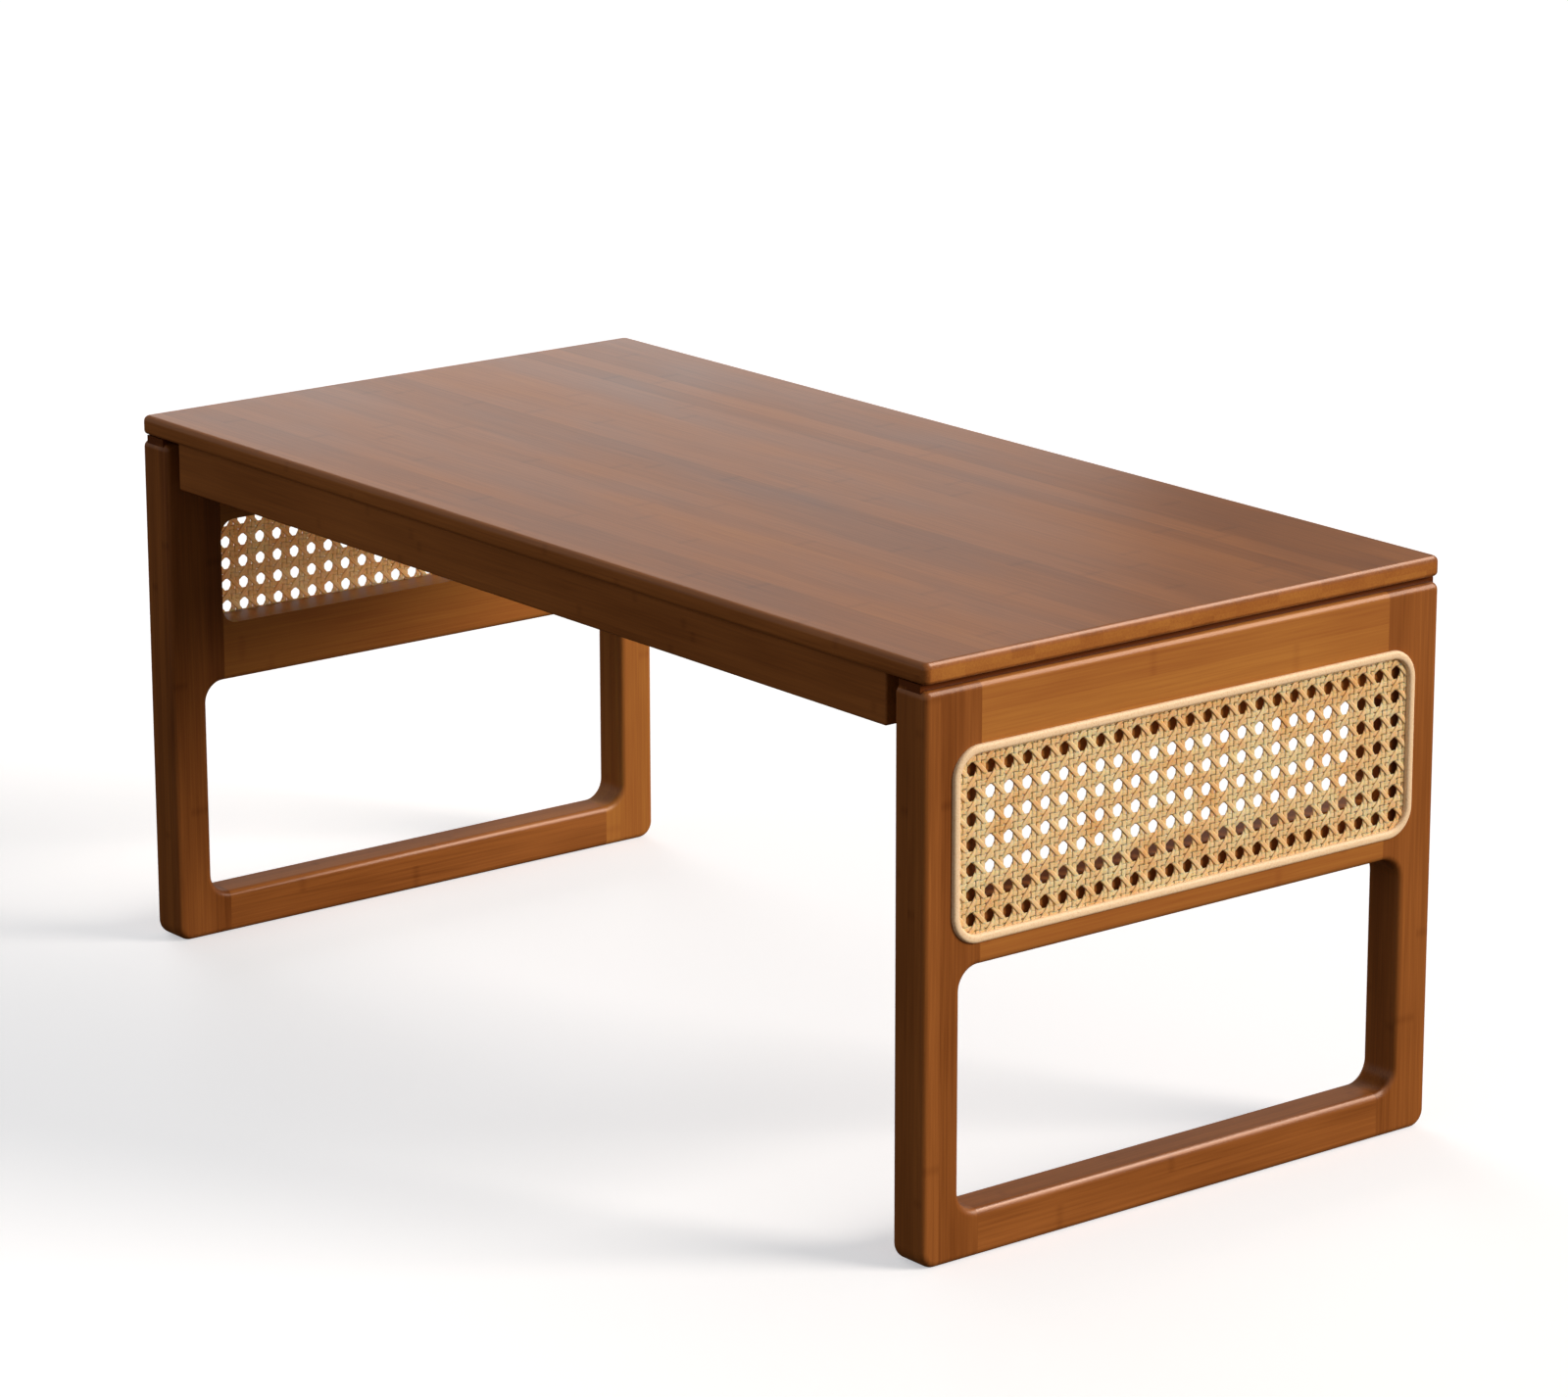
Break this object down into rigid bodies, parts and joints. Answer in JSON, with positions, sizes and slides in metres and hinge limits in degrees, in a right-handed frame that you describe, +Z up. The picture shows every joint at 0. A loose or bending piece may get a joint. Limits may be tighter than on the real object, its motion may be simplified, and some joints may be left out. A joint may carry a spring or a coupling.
{
  "type": "folding coffee table",
  "caption": "Low tea table: a thin bamboo board on a narrow apron, standing on full-width leg frames with cane webbing panels, which fold flat under the top.",
  "frame": {"origin": "on the floor, under the middle of the table top, with the legs upright", "axes": "+X along the table's length, +Y across it towards the back, +Z up"},
  "size_m": [0.9052, 0.445, 0.4],
  "materials": {
    "bamboo": "stained and lacquered bamboo board, semi-gloss",
    "cane": "natural cane webbing",
    "reed": "natural reed",
    "hinge_steel": "zinc-plated steel",
    "magnet": "nickel-plated"
  },
  "bodies": {
    "table": {"table_top": "bamboo", "front_apron": "bamboo", "rear_apron": "bamboo", "right_end_rail": "bamboo", "right_stop_block": "bamboo", "right_catch_magnet": "magnet", "left_end_rail": "bamboo", "left_stop_block": "bamboo", "left_catch_magnet": "magnet", "front_right_corner_block": "bamboo", "front_right_hinge_fixed_leaf": "hinge_steel", "front_right_hinge_pin": "hinge_steel", "front_left_corner_block": "bamboo", "front_left_hinge_fixed_leaf": "hinge_steel", "front_left_hinge_pin": "hinge_steel", "rear_right_corner_block": "bamboo", "rear_right_hinge_fixed_leaf": "hinge_steel", "rear_right_hinge_pin": "hinge_steel", "rear_left_corner_block": "bamboo", "rear_left_hinge_fixed_leaf": "hinge_steel", "rear_left_hinge_pin": "hinge_steel"},
    "right_leg": {"right_leg_bottom_rail": "bamboo", "right_leg_middle_rail": "bamboo", "right_leg_top_rail": "bamboo", "right_cane_panel": "cane", "right_cane_bead": "reed", "right_strike_plate": "hinge_steel", "front_right_stile": "bamboo", "front_right_hinge_leg_leaf": "hinge_steel", "rear_right_stile": "bamboo", "rear_right_hinge_leg_leaf": "hinge_steel"},
    "left_leg": {"left_leg_bottom_rail": "bamboo", "left_leg_middle_rail": "bamboo", "left_leg_top_rail": "bamboo", "left_cane_panel": "cane", "left_cane_bead": "reed", "left_strike_plate": "hinge_steel", "front_left_stile": "bamboo", "front_left_hinge_leg_leaf": "hinge_steel", "rear_left_stile": "bamboo", "rear_left_hinge_leg_leaf": "hinge_steel"}
  },
  "joints": [
    {"name": "right_leg_fold", "type": "hinge", "parent": "table", "child": "right_leg", "pos_m": [0.413, 0, 0.354], "axis": [0, 1, 0], "range_deg": [0, 90]},
    {"name": "left_leg_fold", "type": "hinge", "parent": "table", "child": "left_leg", "pos_m": [-0.413, 0, 0.354], "axis": [0, -1, 0], "range_deg": [0, 90]}
  ]
}
